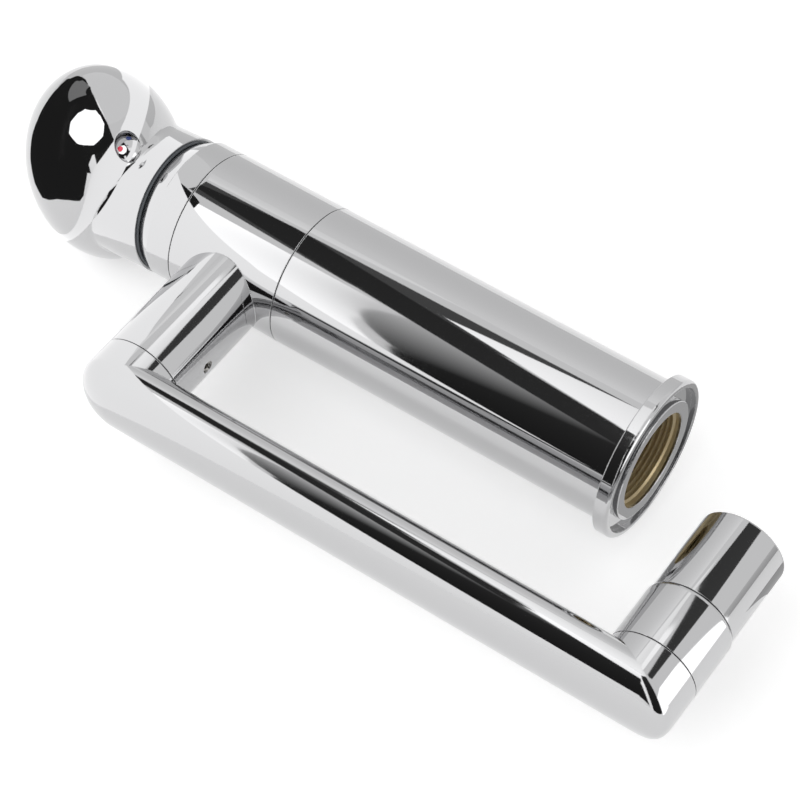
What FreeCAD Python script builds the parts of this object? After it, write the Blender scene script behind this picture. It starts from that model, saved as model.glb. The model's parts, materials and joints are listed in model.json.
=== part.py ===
# Single-lever kitchen faucet: a round column, a spout hub that turns on it, an oval arm that swings
# on the hub's stub, a rotating outlet on the arm, and a ball-shaped handle on a ceramic cartridge.
# Millimetres and degrees. The origin is the centre of the column's end face, +Z runs up the column
# to the handle, and the stub points along -Y. "out" is a distance from the column's axis along -Y.
import FreeCAD, Part
import math
import os
import re
import Sketcher

SIZES = [
    # Column and foot
    ("low_seam_z", 119.0, "seam between column and hub"),
    ("hub_height", 38.0, "distance between the hub's two seams"),
    ("seam_width", 0.3, "width of every seam between turning pieces"),
    ("flange_width", 2.9, "how far the larger collar at the foot stands out"),
    ("flange_height", 4.5, "height of that collar"),
    ("flange_round", 1.2, "rounding of its lower edge"),
    ("edge_round", 0.25, "rounding of crisp edges"),
    ("lip_width", 2.2, "width of the lip on the end face"),
    ("foot_rim", 1.1, "wall between the groove in the end face and the bush"),
    ("groove_depth", 1.8, "depth of that groove"),
    ("thread_r", 15.3, "radius of the threaded bore at the foot"),
    ("bush_wall", 2.7, "wall of the brass bush"),
    ("bush_start", 1.0, "height of the chromed rim under the bush"),
    ("bush_top", 25.0, "top of the brass bush"),
    # Fits
    ("fit_gap", 0.08, "radial clearance of a running fit"),
    ("seat_gap", 0.05, "clearance of a piece that stays in its seat"),
    ("slide_gap", 0.1, "clearance between sliding faces"),
    ("body_gap", 0.3, "clearance between curved faces that move past each other"),
    ("overshoot", 1.0, "how far a cutting form runs past the face that it cuts"),
    # Slide rings of the hub
    ("ring_height", 0.95, "depth of the slide rings' seats"),
    ("ring_width", 2.0, "width of the slide rings"),
    # Waterway core, whose journal carries the hub
    ("hub_wall", 3.0, "wall of the hub round the journal"),
    ("core_step", 0.4, "step between the journal and the column's bore"),
    ("core_foot_height", 8.0, "height of the core's foot"),
    ("core_waist_r", 16.0, "radius of the core's waist"),
    ("core_shoulder_height", 6.0, "height of the shoulder under the journal"),
    ("low_seal_height", 7.0, "height of the lower seal above the lower seam"),
    ("high_seal_depth", 2.8, "distance of the upper seal below the cup's floor"),
    ("seal_wire_r", 1.05, "radius of the hub seals' section"),
    ("seal_groove_width", 2.6, "width of the hub seals' grooves"),
    ("port_land", 3.6, "distance between a seal and the water groove"),
    ("port_r", 3.5, "radius of the mixed water's passage"),
    ("port_groove_depth", 1.6, "depth of the groove that leads the water round the core"),
    ("feed_y", 7.5, "distance of the hot and cold passages from the axis"),
    ("feed_r", 4.2, "radius of the hot and cold passages"),
    ("hose_thread_r", 4.8, "radius of the threaded sockets for the supply hoses"),
    ("hose_thread_depth", 12.0, "depth of those sockets"),
    ("mixed_x", 8.0, "distance of the mixed passage from the axis"),
    # Cartridge and its cup
    ("cartridge_r", 17.5, "radius of the cartridge"),
    ("cup_thread_depth", 0.5, "depth of the thread at the cup's mouth"),
    ("cup_wall", 1.45, "wall of the cup at its thread"),
    ("cup_depth", 13.0, "depth of the cup's floor below the upper seam"),
    ("cup_rise", 7.5, "height of the cup's mouth above the upper seam"),
    ("base_plate_height", 3.0, "height of the cartridge's base"),
    ("base_hole_r", 3.2, "radius of the holes in the base and its seals"),
    ("base_seal_r", 0.8, "radius of the base seals' section"),
    ("base_seal_ring_r", 4.3, "radius of the base seals"),
    ("shoulder_height", 16.0, "height of the cartridge's shoulder above the cup's floor"),
    ("neck_r", 12.4, "radius of the cartridge's neck"),
    ("neck_height", 6.0, "height of that neck"),
    ("neck_bore_r", 8.4, "opening in the neck's top"),
    ("disc_bore_r", 12.5, "radius of the chamber of the discs"),
    ("fixed_disc_gap", 0.2, "clearance of the fixed disc in its chamber"),
    ("fixed_disc_height", 2.6, "height of the fixed disc"),
    ("disc_hole_r", 2.8, "radius of the holes in the discs"),
    ("moving_disc_height", 3.2, "height of the moving disc"),
    ("moving_disc_floor", 0.7, "floor under the pocket of the moving disc"),
    ("yoke_r", 9.8, "radius of the yoke and of the moving disc"),
    ("yoke_height", 10.3, "height of the yoke"),
    ("yoke_slot_half_length", 5.3, "half length of the slot in the yoke"),
    ("pin_r", 1.4, "radius of the lever's pin"),
    ("pin_inset", 0.5, "distance of the pin's ends from the yoke's side"),
    ("nut_height", 4.4, "height of the ring nut"),
    ("nut_notch_width", 4.0, "width of the notches in the ring nut"),
    ("nut_notch_depth", 2.4, "depth of those notches"),
    ("nut_notches", 6, "number of those notches"),
    # Bonnet
    ("bonnet_edge", 7.4, "height of the bonnet's straight side above the lever's pivot"),
    ("dome_rise", 0.9, "how much larger the dome's radius is than the column's"),
    ("dome_wall", 2.0, "wall of the dome"),
    ("dome_opening_r", 11.0, "opening in the dome for the lever"),
    # Stub, arm and their journal
    ("stub_height", 19.3, "height of the stub's axis above the lower seam"),
    ("stub_r", 13.85, "radius of the stub"),
    ("stub_bore_inset", 2.0, "distance of the stub's bore from the hub's side"),
    ("arm_face", 59.0, "out of the arm's inner faces"),
    ("washer_rim", 1.45, "wall of the stub round the slide washer"),
    ("washer_seat_depth", 0.9, "depth of the washers' seats"),
    ("spigot_r", 9.4, "radius of the journals"),
    ("spigot_wall", 0.74, "wall of the journals under their grooves"),
    ("spigot_seat", 6.0, "depth of the journals' seats in the arm"),
    ("spigot_tip_gap", 5.5, "distance of the arm journal's tip from the end of the stub's bore"),
    ("arm_seal_inset", 5.0, "distance of the first seal from the arm journal's tip"),
    ("second_seal_inset", 6.2, "distance of the second seal from the stub's end"),
    ("spigot_seal_r", 0.95, "radius of the journal seals' section"),
    ("spigot_groove_width", 2.4, "width of the journal seals' grooves"),
    ("lock_inset", 13.1, "distance of the lock screw from the stub's end"),
    ("lock_groove_width", 3.4, "width of the lock screw's groove"),
    ("lock_groove_depth", 1.7, "depth of the lock screw's groove"),
    ("lock_screw_r", 1.95, "radius of the lock screw"),
    ("lock_tip_r", 1.25, "radius of the lock screw's tip"),
    ("lock_screw_recess", 0.7, "depth of the lock screw's end under the surface"),
    ("lock_hex_r", 1.1, "radius across corners of the lock screw's socket"),
    ("lock_hex_depth", 1.6, "depth of the lock screw's socket"),
    ("arm_reach", 174.1, "distance between the arm's two axes"),
    ("arm_half_width", 13.9, "half width of the arm's section"),
    ("arm_half_depth", 8.5, "half depth of the arm's section"),
    ("arm_inset", 0.15, "distance of the arm's inner side from its end faces"),
    ("arm_wall", 2.0, "wall of the arm"),
    ("upper_elbow_r", 8.6, "rounding of the upper elbow"),
    ("lower_elbow_r", 5.1, "rounding of the lower elbow"),
    ("elbow_offset", 0.05, "distance of the elbows' rounding from the arm's sides"),
    # Outlet
    ("collar_r", 13.9, "radius of the outlet's collar"),
    ("collar_length", 19.7, "length of the collar, from the seam to the shoulder"),
    ("shoulder_round", 1.5, "rounding of that shoulder"),
    ("outlet_spigot_depth", 2.0, "how far the outlet's journal ends before the shoulder"),
    ("outlet_seal_inset", 7.5, "distance of the first seal from the outlet journal's tip"),
    ("outlet_seal_spacing", 5.0, "distance between the seals on the outlet's journal"),
    ("clip_inset", 2.2, "distance of the spring clip's middle from the journal's tip"),
    ("clip_height", 1.0, "thickness of the spring clip"),
    ("clip_rise", 1.6, "how far the spring clip stands out of the journal"),
    ("clip_depth", 0.85, "depth of the spring clip's groove"),
    ("clip_opening", 6.0, "opening of the spring clip"),
    ("clip_gap", 0.4, "distance of the spring clip from the barrel's neck"),
    ("barrel_r", 13.3, "radius of the outlet's barrel"),
    ("barrel_length", 28.3, "length of the barrel, from the shoulder to its end"),
    ("barrel_end_round", 0.6, "rounding of the barrel's end"),
    ("barrel_bore_r", 9.0, "bore of the barrel"),
    ("barrel_neck_wall", 1.3, "wall of the barrel's neck in the collar"),
    ("cap_rim", 1.9, "wall of the barrel round its end cap"),
    ("cap_height", 2.9, "height of the end cap"),
    ("cap_recess", 0.4, "depth of the end cap under the barrel's rim"),
    ("aerator_inset", 14.3, "distance of the aerator's axis from the barrel's end"),
    ("aerator_r", 7.92, "radius of the aerator's housing"),
    ("aerator_height", 6.0, "height of the aerator's housing"),
    ("aerator_recess", 0.3, "depth of the housing's end under the barrel's side"),
    ("aerator_wall", 0.82, "wall of the housing"),
    ("aerator_lip", 0.8, "width of the housing's lip"),
    ("aerator_lip_height", 0.7, "height of the housing's lip"),
    ("insert_height", 3.2, "height of the flow straightener"),
    ("insert_hole_r", 0.75, "radius of its holes"),
    ("insert_pitch", 2.25, "distance between its rings of holes"),
    ("mesh_height", 0.5, "thickness of the filter mesh"),
    ("aerator_washer_height", 0.9, "thickness of the aerator's washer"),
    ("aerator_washer_bore_r", 5.8, "bore of the aerator's washer"),
    # Lever and handle, about the lever's pivot
    ("lever_yaw", -4.0, "turn of the lever about +Z at rest"),
    ("lever_lean", -5.8, "lean of the lever at rest, towards -X when negative"),
    ("ball_drop", 5.2, "distance of the lever's foot below the pivot"),
    ("ball_r", 2.0, "radius of the lever's foot"),
    ("ball_gap", 0.4, "clearance under the lever's foot"),
    ("ball_neck_r", 1.5, "radius of the lever above its foot"),
    ("stem_r", 3.2, "radius of the lever in the yoke"),
    ("stem_start", 2.8, "start of that radius below the pivot"),
    ("stem_overlap", 0.5, "how far the lever's round parts run into the next one"),
    ("bar_start", 9.0, "start of the lever's square bar above the pivot"),
    ("bar_width", 7.6, "width of the square bar"),
    ("bar_top", 36.0, "top of the square bar above the pivot"),
    ("neck_inset", 0.5, "how much smaller the handle's neck is than the column"),
    ("rim_gap", 1.612, "gap between the handle's rim and the dome"),
    ("head_height", 28.74, "height of the head's centre above the rim"),
    ("head_offset", 4.14, "distance of the head's centre from the lever's axis"),
    ("head_half_length", 36.5, "half length of the head"),
    ("head_half_width", 24.9, "half width of the head"),
    ("head_half_height", 24.0, "half height of the head"),
    ("head_turn", 2.8, "turn of the head against the neck"),
    ("neck_blend", 3.0, "blend between head and neck"),
    ("knob_wall", 3.0, "wall of the hollow head"),
    ("boss_r", 8.0, "radius of the boss round the square bar"),
    ("rim_wall", 0.8, "wall of the handle's rim round the glide ring"),
    ("glide_above", 1.0, "height of the glide ring inside the rim"),
    ("glide_below", 0.6, "height of the glide ring below the rim"),
    ("glide_gap", 0.15, "clearance between glide ring and dome"),
    ("button_x", 25.2, "place of the button, away from the lever's axis"),
    ("button_y", -4.8, "place of the button, to the side"),
    ("button_z", 22.7, "height of the button above the pivot"),
    ("button_azimuth", -7.6, "direction of the button's axis about the lever's axis"),
    ("button_dip", -24.8, "slope of the button's axis"),
    ("button_r", 4.05, "radius of the button"),
    ("button_depth", 3.1, "depth of the button in its seat"),
    ("button_rise", 2.6, "height of the button's dome"),
    ("button_dome_r", 5.3, "radius of the button's dome"),
    ("dot_r", 0.8, "radius of the colour dots"),
    ("dot_side", 2.2, "distance of the colour dots from the button's middle, sideways"),
    ("dot_up", 1.3, "distance of the colour dots from the button's middle, upwards"),
    ("dot_depth", 1.0, "depth of the colour dots"),
    ("dot_rise", 0.03, "height of the colour dots over the button"),
    ("screw_r", 2.45, "radius of the handle's screw"),
    ("screw_length", 7.9, "length of the handle's screw"),
    ("screw_tip_gap", 1.157, "room between the screw's tilted tip and the square bar"),
    ("screw_hex_r", 1.45, "radius across corners of the handle screw's socket"),
    ("screw_hex_depth", 3.0, "depth of the handle screw's socket"),
    ("screw_boss_r", 5.6, "radius of the boss round the handle's screw"),
]

# Sizes that follow from the ones above
DERIVED = {
    "high_seam_z": "(low_seam_z + hub_height)",
    "column_top": "(low_seam_z - seam_width / 2)",
    "hub_bottom": "(low_seam_z + seam_width / 2)",
    "hub_top": "(high_seam_z - seam_width / 2)",
    "bonnet_bottom": "(high_seam_z + seam_width / 2)",
    "bonnet_edge_z": "(pivot_z + bonnet_edge)",
    "spout_z": "(low_seam_z + stub_height)",
    # Round forms, from the cartridge outwards
    "cup_r": "(cartridge_r + seat_gap)",
    "cup_thread_r": "(cup_r + cup_thread_depth)",
    "journal_r": "(cup_thread_r + cup_wall)",
    "column_r": "(journal_r + hub_wall)",
    "column_bore_r": "(journal_r + core_step)",
    "flange_r": "(column_r + flange_width)",
    "lip_r": "(flange_r - lip_width)",
    "bush_r": "(thread_r + bush_wall)",
    "groove_r": "(bush_r + foot_rim)",
    "ring_r": "(journal_r + ring_width)",
    "ring_seat_r": "(ring_r + slide_gap)",
    "ring_bore_r": "(journal_r + slide_gap)",
    "ring_seat_z": "(column_top - ring_height)",
    "foot_r": "(column_bore_r - seat_gap)",
    "hub_bore_r": "(journal_r + fit_gap)",
    "seal_ring_r": "(journal_r + fit_gap / 2 - seal_wire_r)",
    "seal_groove_r": "(journal_r - 2 * seal_wire_r)",
    # Heights in the core and the cartridge
    "cup_floor_z": "(high_seam_z - cup_depth)",
    "core_top_z": "(high_seam_z + cup_rise)",
    "low_seal_z": "(low_seam_z + low_seal_height)",
    "high_seal_z": "(cup_floor_z - high_seal_depth)",
    "port_z": "((low_seal_z + high_seal_z) / 2)",
    "port_groove_width": "(high_seal_z - low_seal_z - 2 * port_land)",
    "shoulder_z": "(cup_floor_z + shoulder_height)",
    "neck_top_z": "(shoulder_z + neck_height)",
    "disc_floor_z": "(cup_floor_z + base_plate_height)",
    "fixed_disc_r": "(disc_bore_r - fixed_disc_gap)",
    "moving_disc_z": "(disc_floor_z + fixed_disc_height + slide_gap)",
    "yoke_z": "(moving_disc_z + moving_disc_height + body_gap)",
    "pivot_z": "(moving_disc_z + moving_disc_floor + ball_gap + ball_r + ball_drop)",
    "pin_half_length": "(yoke_r - pin_inset)",
    # Journals, arm and outlet
    "stub_end": "(arm_face - seam_width)",
    "stub_bore_r": "(spigot_r + fit_gap)",
    "stub_bore_start": "(column_r + stub_bore_inset)",
    "washer_seat_r": "(stub_r - washer_rim)",
    "washer_r": "(washer_seat_r - slide_gap)",
    "washer_bore_r": "(spigot_r + body_gap)",
    "spigot_end": "(arm_face + spigot_seat)",
    "spigot_groove_r": "(spigot_r + fit_gap / 2 - 2 * spigot_seal_r)",
    "spigot_bore_r": "(spigot_groove_r - spigot_wall)",
    "arm_spigot_tip": "(stub_bore_start + spigot_tip_gap)",
    "arm_seal_out": "(arm_spigot_tip + arm_seal_inset)",
    "second_arm_seal": "(stub_end - second_seal_inset)",
    "lock_out": "(stub_end - lock_inset)",
    "outlet_z": "(spout_z - arm_reach)",
    "arm_middle": "(arm_face + arm_half_depth - arm_inset)",
    "shoulder_out": "(stub_end - collar_length)",
    "outlet_spigot_tip": "(shoulder_out + outlet_spigot_depth)",
    "outlet_seal_out": "(outlet_spigot_tip + outlet_seal_inset)",
    "second_outlet_seal": "(outlet_seal_out + outlet_seal_spacing)",
    "clip_out": "(outlet_spigot_tip + clip_inset)",
    "collar_bore_end": "(clip_out + clip_height / 2 + body_gap)",
    "barrel_neck_length": "(clip_out - clip_height / 2 - clip_gap - shoulder_out)",
    "clip_r": "(spigot_r + clip_rise)",
    "barrel_neck_r": "(clip_r + body_gap)",
    "barrel_neck_bore_r": "(barrel_neck_r - barrel_neck_wall)",
    "barrel_end": "(shoulder_out - barrel_length)",
    "cap_r": "(barrel_r - cap_rim - seat_gap)",
    "aerator_out": "(barrel_end + aerator_inset)",
    "aerator_end": "(barrel_r - aerator_recess)",
    "aerator_start": "(aerator_end - aerator_height)",
    "aerator_bore_r": "(aerator_r - aerator_wall)",
    "aerator_lip_r": "(aerator_bore_r - aerator_lip)",
    # Dome and handle
    "dome_r": "(column_r + dome_rise)",
    "cavity_r": "(dome_r + body_gap)",
    "handle_neck_r": "(column_r - neck_inset)",
    "glide_r": "(handle_neck_r - rim_wall)",
    "rim_height": "sqrt((dome_r + rim_gap) ^ 2 - handle_neck_r ^ 2)",
    "head_z": "(rim_height + head_height)",
    "screw_end": "((button_x - bar_width / 2 - screw_tip_gap) / cos(button_dip))",
    "screw_start": "(screw_end - screw_length)",
}

# Name and place of each passage in the core, the cartridge's base and the fixed disc
WATER_WAYS = (("hot", "0", "-feed_y"), ("cold", "0", "feed_y"), ("mixed", "-mixed_x", "0"))

AXES = {
    "Z": "placement(vector({x}; {y}; {start}); rotation(0; 0; 0))",
    "-Y": "placement(vector({x}; -({start}); {z}); rotation(0; 0; 90))",
    "-X": "placement(vector(-({start}); {y}; {z}); rotation(0; -90; 0))",
    "Y": "placement(vector({x}; {start}; {z}); rotation(0; 0; -90))",
    "-Z": "placement(vector({x}; {y}; -({start})); rotation(0; 180; 0))",
}
STUB_PLACE = "placement(vector(0; 0; spout_z); rotation(0; 0; 90))"
OUTLET_PLACE = "placement(vector(0; 0; outlet_z); rotation(0; 0; 90))"
AERATOR_PLACE = "placement(vector(0; -aerator_out; outlet_z); rotation(0; -90; 0))"
CARRIER_PLACE = "placement(vector(0; 0; 0); rotation(lever_yaw; 0; 0))"
LEVER_PLACE = "placement(vector(0; 0; pivot_z); rotation(lever_yaw; lever_lean; 0))"
BUTTON_PLACE = ("placement(vector(button_x; button_y; button_z);"
                " rotation(button_azimuth; 90 - button_dip; 0))")
BUTTON_ON_LEVER_PLACE = LEVER_PLACE + " * " + BUTTON_PLACE

doc = FreeCAD.newDocument("KitchenFaucet")
sheet = doc.addObject("Spreadsheet::Sheet", "Sizes")
subparts = {}


def fill_sheet():
    """Write every driving size into the sheet, with its name and its meaning."""
    for row, (alias, value, meaning) in enumerate(SIZES, start=1):
        sheet.set(f"A{row}", alias)
        sheet.set(f"B{row}", str(value))
        sheet.setAlias(f"B{row}", alias)
        sheet.set(f"C{row}", meaning)
    doc.recompute()


def in_sheet(formula):
    """Turn the names in a formula into references to the sheet's cells."""
    aliases = {alias for alias, value, meaning in SIZES}

    def spell(match):
        word = match.group(0)
        if word in DERIVED:
            return in_sheet(DERIVED[word])
        return "Sizes." + word if word in aliases else word

    return re.sub(r"[a-z][a-z_]*", spell, formula)


def bind(thing, **formulas):
    """Tie properties of an object to the sheet."""
    for name, formula in formulas.items():
        thing.setExpression(name, in_sheet(formula))
    return thing


def cylinder(name, radius, start, end, axis="Z", x="0", y="0", z="0"):
    """A cylinder from start to end along an axis through the given point."""
    thing = doc.addObject("Part::Cylinder", name)
    place = AXES[axis].format(x=x, y=y, z=z, start=start)
    return bind(thing, Radius=radius, Height=f"({end}) - ({start})", Placement=place)


def ball(name, radius, x="0", y="0", z="0"):
    thing = doc.addObject("Part::Sphere", name)
    place = f"placement(vector({x}; {y}; {z}); rotation(0; 0; 0))"
    return bind(thing, Radius=radius, Placement=place)


def block(name, half_x, half_y, bottom, top, x="0", y="0"):
    """A box centred on a vertical line."""
    thing = doc.addObject("Part::Box", name)
    place = f"placement(vector({x} - ({half_x}); {y} - ({half_y}); {bottom}); rotation(0; 0; 0))"
    return bind(thing, Length=f"2 * ({half_x})", Width=f"2 * ({half_y})",
                Height=f"({top}) - ({bottom})", Placement=place)


def hexagon(name, radius, start, end, axis="Z", x="0", y="0", z="0"):
    """A six-sided prism, for the sockets of screws."""
    thing = doc.addObject("Part::Prism", name)
    thing.Polygon = 6
    place = AXES[axis].format(x=x, y=y, z=z, start=start)
    return bind(thing, Circumradius=radius, Height=f"({end}) - ({start})", Placement=place)


def ring(name, radius, thickness, z, axis="Z"):
    """A round rubber ring about the Z axis, or about another axis through Z."""
    thing = doc.addObject("Part::Torus", name)
    return bind(thing, Radius1=radius, Radius2=thickness,
                Placement=AXES[axis].format(x="0", y="0", z="0", start=z))


def cut(name, base, *tools):
    """Take the tools away from the base, one after another."""
    for number, tool in enumerate(tools, start=1):
        thing = doc.addObject("Part::Cut", name if number == len(tools) else f"{name}_cut_{number}")
        thing.Base = base
        thing.Tool = tool
        base = thing
    return base


def fuse(name, *pieces):
    thing = doc.addObject("Part::MultiFuse", name)
    thing.Shapes = list(pieces)
    return thing


def common(name, base, tool):
    thing = doc.addObject("Part::Common", name)
    thing.Base = base
    thing.Tool = tool
    return thing


def group(name, *pieces):
    thing = doc.addObject("Part::Compound", name)
    thing.Links = list(pieces)
    return thing


def place(thing, formula):
    return bind(thing, Placement=formula)


def sketch_on(body, name, role, outline):
    """A closed outline of straight lines whose corners are tied to the sheet."""
    sketch = body.newObject("Sketcher::SketchObject", name)
    plane = [feature for feature in body.Origin.OriginFeatures if feature.Role == role][0]
    sketch.AttachmentSupport = [(plane, "")]
    sketch.MapMode = "FlatFace"
    count = len(outline)
    turn = 2 * math.pi / count
    start = [FreeCAD.Vector(math.cos(i * turn), math.sin(i * turn), 0) for i in range(count)]
    for i in range(count):
        sketch.addGeometry(Part.LineSegment(start[i], start[(i + 1) % count]))
    for i in range(count):
        sketch.addConstraint(Sketcher.Constraint("Coincident", i, 2, (i + 1) % count, 1))
    for i, (across, along) in enumerate(outline):
        for kind, formula, value in (("DistanceX", across, start[i].x), ("DistanceY", along, start[i].y)):
            index = sketch.addConstraint(Sketcher.Constraint(kind, -1, 1, i, 1, value))
            sketch.setExpression(f"Constraints[{index}]", in_sheet(formula))
    return sketch


def turned(name, outline, rounds=(), axis_place=None):
    """A turned body from an outline of (radius, height) corners, with some corners rounded."""
    body = doc.addObject("PartDesign::Body", name)
    sketch = sketch_on(body, name + "_outline", "XZ_Plane", outline)
    revolution = body.newObject("PartDesign::Revolution", name + "_turning")
    revolution.Profile = sketch
    revolution.ReferenceAxis = (sketch, ["V_Axis"])
    revolution.Angle = 360
    body.Tip = revolution
    doc.recompute()
    corners = [line.StartPoint for line in sketch.Geometry]
    for count, (radius, indices) in enumerate(rounds, start=1):
        solid = body.Tip
        edges = [edge for index in indices for edge in circles_at(solid, corners[index])]
        fillet = body.newObject("PartDesign::Fillet", f"{name}_rounding_{count}")
        fillet.Base = (solid, edges)
        bind(fillet, Radius=radius)
        body.Tip = fillet
        doc.recompute()
    if axis_place:
        place(body, axis_place)
    return body


def circles_at(feature, corner):
    """Names of the round edges that an outline's corner makes."""
    names = []
    for number, edge in enumerate(feature.Shape.Edges, start=1):
        if not isinstance(edge.Curve, Part.Circle):
            continue
        same_radius = abs(edge.Curve.Radius - corner.x) < 1e-4
        if same_radius and abs(edge.Curve.Center.z - corner.y) < 1e-4:
            names.append(f"Edge{number}")
    return names


def keep(thing, formula=None):
    """Register a finished sub-part under its label."""
    if formula:
        place(thing, formula)
    thing.Label = thing.Name
    subparts[thing.Label] = thing
    return thing


def column():
    outline = [
        ("thread_r", "0"), ("groove_r", "0"), ("groove_r", "groove_depth"),
        ("lip_r", "groove_depth"), ("lip_r", "0"), ("flange_r", "0"),
        ("flange_r", "flange_height"), ("column_r", "flange_height"), ("column_r", "column_top"),
        ("ring_seat_r", "column_top"), ("ring_seat_r", "ring_seat_z"),
        ("column_bore_r", "ring_seat_z"), ("column_bore_r", "bush_top"),
        ("bush_r + seat_gap", "bush_top"), ("bush_r + seat_gap", "bush_start"),
        ("thread_r", "bush_start"),
    ]
    keep(turned("column_tube", outline, [("flange_round", [5]), ("edge_round", [0, 1, 4, 6])]))
    keep(turned("base_bush", [
        ("thread_r", "bush_start"), ("bush_r", "bush_start"),
        ("bush_r", "bush_top"), ("thread_r", "bush_top"),
    ]))


def slide_rings():
    lower = turned("lower_slide_ring", [
        ("ring_bore_r", "ring_seat_z"), ("ring_r", "ring_seat_z"),
        ("ring_r", "hub_bottom - slide_gap"), ("ring_bore_r", "hub_bottom - slide_gap"),
    ])
    upper = turned("upper_slide_ring", [
        ("ring_bore_r", "hub_top + slide_gap"), ("ring_r", "hub_top + slide_gap"),
        ("ring_r", "bonnet_bottom + ring_height"), ("ring_bore_r", "bonnet_bottom + ring_height"),
    ])
    keep(group("hub_slide_rings", lower, upper))


def core():
    outline = [
        ("0", "bush_top"), ("foot_r", "bush_top"), ("foot_r", "bush_top + core_foot_height"),
        ("core_waist_r", "bush_top + core_foot_height"),
        ("core_waist_r", "ring_seat_z - core_shoulder_height"),
        ("foot_r", "ring_seat_z - core_shoulder_height"), ("foot_r", "ring_seat_z"),
        ("journal_r", "ring_seat_z"),
    ]
    for middle, width, inner in (
            ("low_seal_z", "seal_groove_width", "seal_groove_r"),
            ("port_z", "port_groove_width", "journal_r - port_groove_depth"),
            ("high_seal_z", "seal_groove_width", "seal_groove_r")):
        outline += [
            ("journal_r", f"{middle} - {width} / 2"), (inner, f"{middle} - {width} / 2"),
            (inner, f"{middle} + {width} / 2"), ("journal_r", f"{middle} + {width} / 2"),
        ]
    outline += [
        ("journal_r", "core_top_z"), ("cup_thread_r", "core_top_z"),
        ("cup_thread_r", "shoulder_z"), ("cup_r", "shoulder_z"),
        ("cup_r", "cup_floor_z"), ("0", "cup_floor_z"),
    ]
    solid = turned("core_turning", outline)
    passages = []
    for side, x, y in WATER_WAYS[:2]:
        passages.append(cylinder(side + "_passage", "feed_r", "bush_top - overshoot",
                                 "cup_floor_z + overshoot", x=x, y=y))
        passages.append(cylinder(side + "_socket", "hose_thread_r", "bush_top - overshoot",
                                 "bush_top + hose_thread_depth", x=x, y=y))
    passages.append(cylinder("mixed_passage", "port_r", "port_z", "cup_floor_z + overshoot",
                             x="-mixed_x"))
    passages.append(ball("mixed_corner", "port_r", x="-mixed_x", z="port_z"))
    passages.append(cylinder("mixed_port", "port_r", "mixed_x", "journal_r + overshoot", "-X",
                             z="port_z"))
    keep(cut("waterway_core", solid, *passages))
    keep(group("hub_seals",
               ring("lower_seal", "seal_ring_r", "seal_wire_r", "low_seal_z"),
               ring("upper_seal", "seal_ring_r", "seal_wire_r", "high_seal_z")))


def water_ways(name, radius, bottom, top):
    """The three upright holes that the core, the base and the fixed disc share."""
    return [cylinder(f"{name}_{side}_hole", radius, bottom, top, x=x, y=y) for side, x, y in WATER_WAYS]


def cartridge():
    base = cylinder("base_plate", "cartridge_r", "cup_floor_z", "disc_floor_z")
    holes = water_ways("base", "base_hole_r", "cup_floor_z - overshoot", "disc_floor_z + overshoot")
    seats = water_ways("seal_seat", "base_seal_ring_r + base_seal_r + seat_gap",
                       "cup_floor_z - overshoot", "cup_floor_z + 2 * base_seal_r + seat_gap")
    keep(cut("cartridge_base", base, *holes, *seats))

    seals = []
    for side, x, y in WATER_WAYS:
        seal = doc.addObject("Part::Torus", side + "_base_seal")
        bind(seal, Radius1="base_seal_ring_r - seat_gap", Radius2="base_seal_r",
             Placement=AXES["Z"].format(x=x, y=y, start="cup_floor_z + base_seal_r"))
        seals.append(seal)
    keep(group("cartridge_seals", *seals))

    disc = cylinder("fixed_disc_blank", "fixed_disc_r", "disc_floor_z",
                    "disc_floor_z + fixed_disc_height")
    keep(cut("fixed_ceramic_disc", disc,
             *water_ways("disc", "disc_hole_r", "disc_floor_z - overshoot",
                         "disc_floor_z + fixed_disc_height + overshoot")))

    keep(turned("cartridge_body", [
        ("disc_bore_r", "disc_floor_z"), ("cartridge_r", "disc_floor_z"),
        ("cartridge_r", "shoulder_z"), ("neck_r", "shoulder_z"), ("neck_r", "neck_top_z"),
        ("neck_bore_r", "neck_top_z"), ("neck_bore_r", "yoke_z + yoke_height + slide_gap"),
        ("yoke_r + fit_gap", "yoke_z + yoke_height + slide_gap"),
        ("yoke_r + fit_gap", "yoke_z - slide_gap"), ("disc_bore_r", "yoke_z - slide_gap"),
    ], [("2 * edge_round", [4])]))

    nut = turned("nut_turning", [
        ("neck_r + seat_gap", "shoulder_z"), ("cup_thread_r - seat_gap", "shoulder_z"),
        ("cup_thread_r - seat_gap", "shoulder_z + nut_height"),
        ("neck_r + seat_gap", "shoulder_z + nut_height"),
    ])
    notches = []
    for number in range(int(sheet.get("nut_notches"))):
        notch = doc.addObject("Part::Box", f"nut_notch_{number + 1}")
        angle = f"{number} * 360 / nut_notches"
        bind(notch, Length="2 * nut_notch_depth", Width="nut_notch_width", Height="nut_height",
             Placement=f"placement(vector(0; 0; 0); rotation({angle}; 0; 0)) * placement(vector("
                       "neck_r - nut_notch_depth; -nut_notch_width / 2;"
                       " shoulder_z + nut_height - nut_notch_depth); rotation(0; 0; 0))")
        notches.append(notch)
    keep(cut("cartridge_nut", nut, *notches))


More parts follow.
